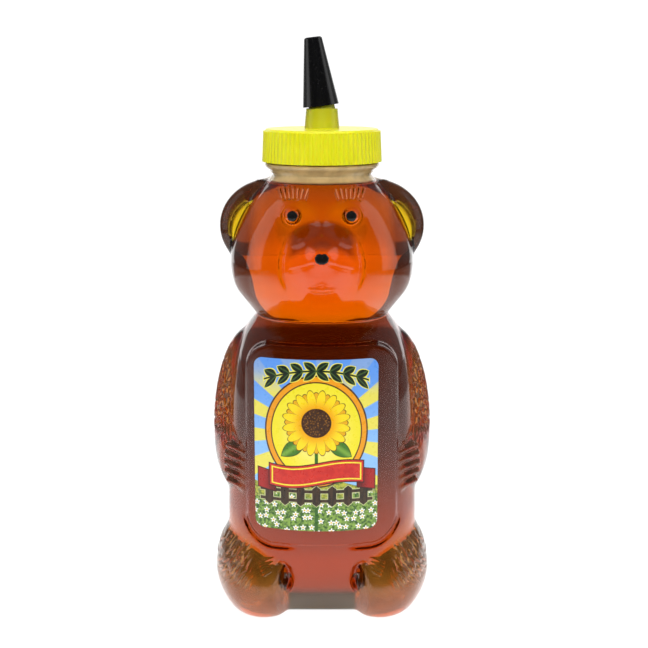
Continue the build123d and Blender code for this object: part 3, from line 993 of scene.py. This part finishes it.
def label_print():
    """A printed film: a sunflower in an oval, a laurel twig, a ribbon, a fence and a meadow, under a blue
    sky with yellow beams. Nothing is written on it."""
    f = finish("label_print")
    u, v = f.x - LABEL_MIDDLE[0], f.z - LABEL_MIDDLE[1]
    picture = f.mix(v.ramp(-8, 29), (0.3, 0.58, 0.98), (0.12, 0.34, 0.9))
    rise = v - 5.0
    beam = (rise.turn_to(u) * 14).sine()
    picture = f.mix(beam.ramp(-0.12, 0.12) * v.ramp(16, 27, 0.9, 0.15), picture, (0.93, 0.8, 0.02))
    picture = print_meadow(f, u, v, picture)
    oval = (ellipse((u, rise), (0, 0), (15.6, 17.6)) ** 0.5 - 1) * 16
    for edge, colour in ((1.3, (0.06, 0.02, 0.01)), (0.8, (0.9, 0.36, 0.01)), (-0.7, (0.06, 0.02, 0.01))):
        picture = f.mix((oval - edge).inside(), picture, colour)
    glow = f.mix(oval.ramp(-14, -2), (0.96, 0.9, 0.3), (0.92, 0.8, 0.03))
    picture = f.mix((oval + 1.1).inside(), picture, glow)
    picture = print_sunflower(f, u, v - 8.0, picture)
    picture = print_fence(f, u, v + 17.0, picture)
    picture = print_ribbon(f, u, v + 9.5 - (u * 0.17).sine() * 1.2, picture)
    picture = print_garland(f, u, v - 25.4 + u * u * 0.012, picture)
    rough = f.noise(0.6).ramp(0.3, 0.7, 0.26, 0.36)
    return f.surface(picture, rough, f.bump(f.noise(0.35, 1.0), 0.02, 0.3))


def outlined(f, picture, shape, colour, line, width=0.3):
    """Prints a shape in a colour, with a line of a width round it."""
    picture = f.mix((shape - width).inside(), picture, line)
    return f.mix(shape.inside(), picture, colour)


def print_sunflower(f, u, v, picture):
    """A stem, two leaves, two rows of sixteen petals with dark outlines, and a seeded middle."""
    stem = f.mix(v.ramp(-16, -4), (0.03, 0.12, 0.01), (0.08, 0.26, 0.02))
    picture = f.mix((abs(u) - 0.55).inside() * (v + 2).inside(), picture, stem)
    for side in (-1, 1):
        along, across = u * side * 0.8 - v * 0.6 - 11.2, v * 0.8 + u * side * 0.6 + 2.4
        leaf = abs(across) - 2.2 + along * along * 0.095
        green = f.mix(abs(across).ramp(0, 1.4), (0.2, 0.4, 0.05), (0.06, 0.2, 0.02))
        picture = outlined(f, picture, leaf, green, (0.02, 0.06, 0.01))
    out = (u * u + v * v) ** 0.5
    turn = v.turn_to(u) * 8
    back_row = (1.571, 10.2, (0.62, 0.2, 0.0), (0.85, 0.45, 0.01))
    front_row = (0.0, 11.0, (0.9, 0.38, 0.0), (0.98, 0.74, 0.015))
    for shift, reach, near, far in (back_row, front_row):
        petal = out - 6.2 - (reach - 6.2) * abs((turn + shift).sine()) ** 0.6
        picture = outlined(f, picture, petal, f.mix(out.ramp(4.2, 9), near, far), (0.16, 0.05, 0.005))
    seeds = f.node("TexVoronoi", {}, {"Vector": f.place, "Scale": 1.5})
    seeded = f.mix(seeds.ramp(0.15, 0.5), (0.3, 0.12, 0.015), (0.05, 0.018, 0.006))
    return outlined(f, picture, out - 4.3, seeded, (0.05, 0.015, 0.004), 0.6)


def print_ribbon(f, u, v, picture):
    """A blank red ribbon with yellow lines along its edges and folded tails."""
    line = (0.03, 0.004, 0.002)
    tail = (abs(v + 2.2) - 3.3).most(abs(u) - 19.2).most(13.5 - abs(u))
    fold = f.mix(abs(u).ramp(14, 18), (0.12, 0.004, 0.004), (0.4, 0.012, 0.01))
    picture = outlined(f, picture, tail, fold, line)
    band = (abs(v) - 3.6).most(abs(u) - 15.4)
    silk = f.mix(f.noise(0.5, 3.0).ramp(0.3, 0.7), (0.56, 0.02, 0.015), (0.68, 0.035, 0.02))
    picture = outlined(f, picture, band, silk, line, 0.35)
    return f.mix((abs(band + 0.85) - 0.22).inside(), picture, (0.95, 0.82, 0.05))


def print_garland(f, u, v, picture):
    """A dark laurel twig in an arch, with a leaf on either side of its stem at each step."""
    step, up = u.math("WRAP", abs(u), 4.3, 0.0), abs(v)
    along, across = step * 0.8 + up * 0.6 - 2.5, up * 0.8 - step * 0.6
    leaf = (abs(across) - 1.15 + along * along * 0.18).least(up - 0.3).most(abs(u) - 17.1)
    vein = f.mix(abs(across).ramp(0.0, 0.35), (0.06, 0.12, 0.03), (0.006, 0.016, 0.008))
    return outlined(f, picture, leaf, vein, (0.92, 0.86, 0.12))


def print_fence(f, u, v, picture):
    """A dark wooden fence with pointed boards and two rails."""
    step = abs(u.math("WRAP", u, 2.6, -2.6))
    board = (step - 1.35).most(abs(v) - 3.6 + step * 0.8)
    rail = (abs(abs(v) - 1.6) - 0.55).most(abs(u) - 18.6)
    fence = board.least(rail).most(abs(u) - 19.0)
    upright = f.node("VectorMath", {"operation": "MULTIPLY"}, {0: f.place, 1: (1.0, 1.0, 0.15)})
    grain = f.noise(1.2, 3.0, place=upright).ramp(0.35, 0.65)
    wood = f.mix(grain, (0.02, 0.012, 0.006), (0.06, 0.03, 0.012))
    return outlined(f, picture, fence, wood, (0.6, 0.62, 0.3), 0.25)


def print_meadow(f, u, v, picture):
    """Two rows of hills, with white blossoms strewn over the nearer one."""
    grass = f.noise(1.1).ramp(0.35, 0.65)
    far = (v + 12.5 - (u * 0.2 + 1.2).sine() * 1.8).inside(0.2)
    picture = f.mix(far, picture, f.mix(grass, (0.14, 0.2, 0.03), (0.5, 0.5, 0.06)))
    near = (v + 17.2 - (u * 0.26 + 4.0).sine() * 1.3).inside(0.2)
    picture = f.mix(near, picture, f.mix(grass, (0.03, 0.1, 0.015), (0.26, 0.42, 0.07)))
    flat = f.node("CombineXYZ", {}, {0: u, 1: v})
    inputs = {"Vector": flat, "Scale": 0.34, "Randomness": 0.75}
    cells = f.node("TexVoronoi", {"voronoi_dimensions": "2D"}, inputs, "Position")
    cell_x, cell_y, _ = f.parts(cells)
    du, dv = u - cell_x, v - cell_y
    out = (du * du + dv * dv) ** 0.5
    blossom = (out - 0.75 - (dv.turn_to(du) * 5).sine() * 0.28).inside() * near
    picture = f.mix(blossom, picture, (0.9, 0.9, 0.86))
    return f.mix((out - 0.3).inside() * near, picture, (0.85, 0.55, 0.02))


def sheet(name, outline, profile):
    """A stage sheet. Each point of the profile, a place back and a height, runs between two sides."""
    points = [(side, back, height) for back, height in profile for side in outline]
    rows = range(len(profile) - 1)
    faces = [(2 * row, 2 * row + 1, 2 * row + 3, 2 * row + 2) for row in rows]
    data = bpy.data.meshes.new(name)
    data.from_pydata(points, [], faces)
    data.shade_smooth()
    stage = bpy.data.objects.new(name, data)
    bpy.context.scene.collection.objects.link(stage)
    return stage


def greys(f, low, high):
    """A grey that varies a little from place to place."""
    return f.mix(f.noise(0.02).ramp(0.3, 0.7), (low, low, low), (high, high, high))


def glow_sheet(name, outline, profile, strength, shade=None):
    """A white sheet that glows as paper does with a lamp behind it. It lights the bottle and shows in it,
    but the camera doesn't see it, so that the floor and the air behind the bottle stay plain white."""
    stage = sheet(name, outline, profile)
    stage.visible_camera = False
    f = finish(name)
    light = f.mix(shade(f) if shade else 1.0, (0.0, 0.0, 0.0), WHITE)
    wear(stage, f.surface(greys(f, 0.3, 0.32), 0.7, Emission_Color=light, Emission_Strength=strength))


def table_shade(f):
    """A lit patch round the bottle that widens to the back. It fades in front, towards the dark room."""
    out = (f.x * f.x + f.y * f.y) ** 0.5
    round_it = out.fall(TABLE_SIDE / MM - TABLE_SOFT, TABLE_SIDE / MM + TABLE_SOFT)
    patch = round_it.most((f.y * TABLE_SPREAD - abs(f.x)).ramp(-TABLE_SOFT, TABLE_SOFT))
    behind = f.y.ramp(20, 90, 1.0, TABLE_BEHIND) + f.y.ramp(300, 600, 0.0, TABLE_FAR - TABLE_BEHIND)
    lit = patch * behind * f.y.ramp(TABLE_FADE_START / MM, TABLE_FADE_END / MM)
    return lit * out.ramp(SHADE_START, SHADE_END, SHADE_LIGHT, 1.0)


def floor():
    """The plain pale floor that the camera sees."""
    stage = sheet("floor", (-FLOOR_REACH, FLOOR_REACH), [(-FLOOR_REACH, 0), (FLOOR_REACH, 0)])
    stage.visible_diffuse = stage.visible_glossy = stage.visible_transmission = stage.visible_shadow = False
    f = finish("pale_floor")
    wear(stage, f.surface(greys(f, 0.1, 0.11), 0.8, Emission_Color=WHITE, Emission_Strength=FLOOR_GLOW))


def lamp(name, place, aim, width, height, power, only_gloss=False):
    """A rectangular soft light. Some light only what is matt, and some show only as a reflection."""
    light = bpy.data.lights.new(name, "AREA")
    light.shape, light.size, light.size_y = "RECTANGLE", width, height
    light.energy = power
    box = bpy.data.objects.new(name, light)
    box.location = place
    box.rotation_mode = "QUATERNION"
    box.rotation_quaternion = (Vector(aim) - Vector(place)).to_track_quat("-Z", "Y")
    box.visible_camera = box.visible_transmission = False
    box.visible_glossy = only_gloss
    box.visible_diffuse = not only_gloss
    bpy.context.scene.collection.objects.link(box)


def room():
    """A dim room beyond the table, darkest low down and behind the camera. The camera sees it as white."""
    world = bpy.data.worlds.new("room")
    bpy.context.scene.world = world
    f = Finish(world, "Generated", 1.0)
    light = f.y.ramp(-0.6, 0.4, ROOM_FRONT, ROOM_BACK) * f.z.ramp(-0.25, 0.05, ROOM_LOW, 1.0)
    seen = f.node("LightPath", output="Is Camera Ray")
    strength = light.most(seen * ROOM_SEEN)
    background = f.node("Background", {}, {"Color": WHITE, "Strength": strength})
    f.close("World", Surface=background)


def make_camera():
    data = bpy.data.cameras.new("camera")
    data.sensor_width = SENSOR
    data.lens = SENSOR * FOCAL_PIXELS / PICTURE_PIXELS
    camera = bpy.data.objects.new("camera", data)
    camera.location = CAMERA
    camera.rotation_euler = (math.radians(90 - CAMERA_TILT), 0, 0)
    bpy.context.scene.collection.objects.link(camera)
    bpy.context.scene.camera = camera
    bpy.context.scene.view_settings.view_transform = "Standard"


def studio():
    """The floor, the glowing table with its curved back, the soft lights and the room round it."""
    curve = [math.radians(15 * step) for step in range(7)]
    bend = [(BACK - BEND + BEND * math.sin(turn), BEND - BEND * math.cos(turn)) for turn in curve]
    floor()
    sides = (-BACK_SIDE, BACK_SIDE)
    glow_sheet("table_glow", sides, [(TABLE_FADE_START, -MM), (BACK - BEND, -MM)], TABLE_GLOW, table_shade)
    glow_sheet("back_glow", sides, [*bend, (BACK, BACK_HEIGHT)], BACK_GLOW)
    for side in (-1, 1):
        x, y, z = CARD_PLACE
        card = ((side * x, y, z), (0, y, z), CARD_WIDTH, CARD_HEIGHT, CARD_POWER)
        lamp(f"side_card_{side}", *card, only_gloss=True)
    lamp("top_light", *TOP_LIGHT)
    lamp("front_light", *FRONT_LIGHT)
    room()


skin = sculpt_bear()
bottle = make_bottle(*skin)
honey = make_honey(*skin)
wear(bottle, clear_plastic())
wear(honey, honey_finish())
wear(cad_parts["label"], label_print())
yellow = yellow_plastic()
wear(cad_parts["cap"], yellow)
wear(make_cap_thread(), yellow)
wear(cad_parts["tip_cap"], black_plastic())
wear(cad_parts["cap_liner"], foam())
paint = black_paint()
for dot in make_paints():
    wear(dot, paint)
studio()
make_camera()
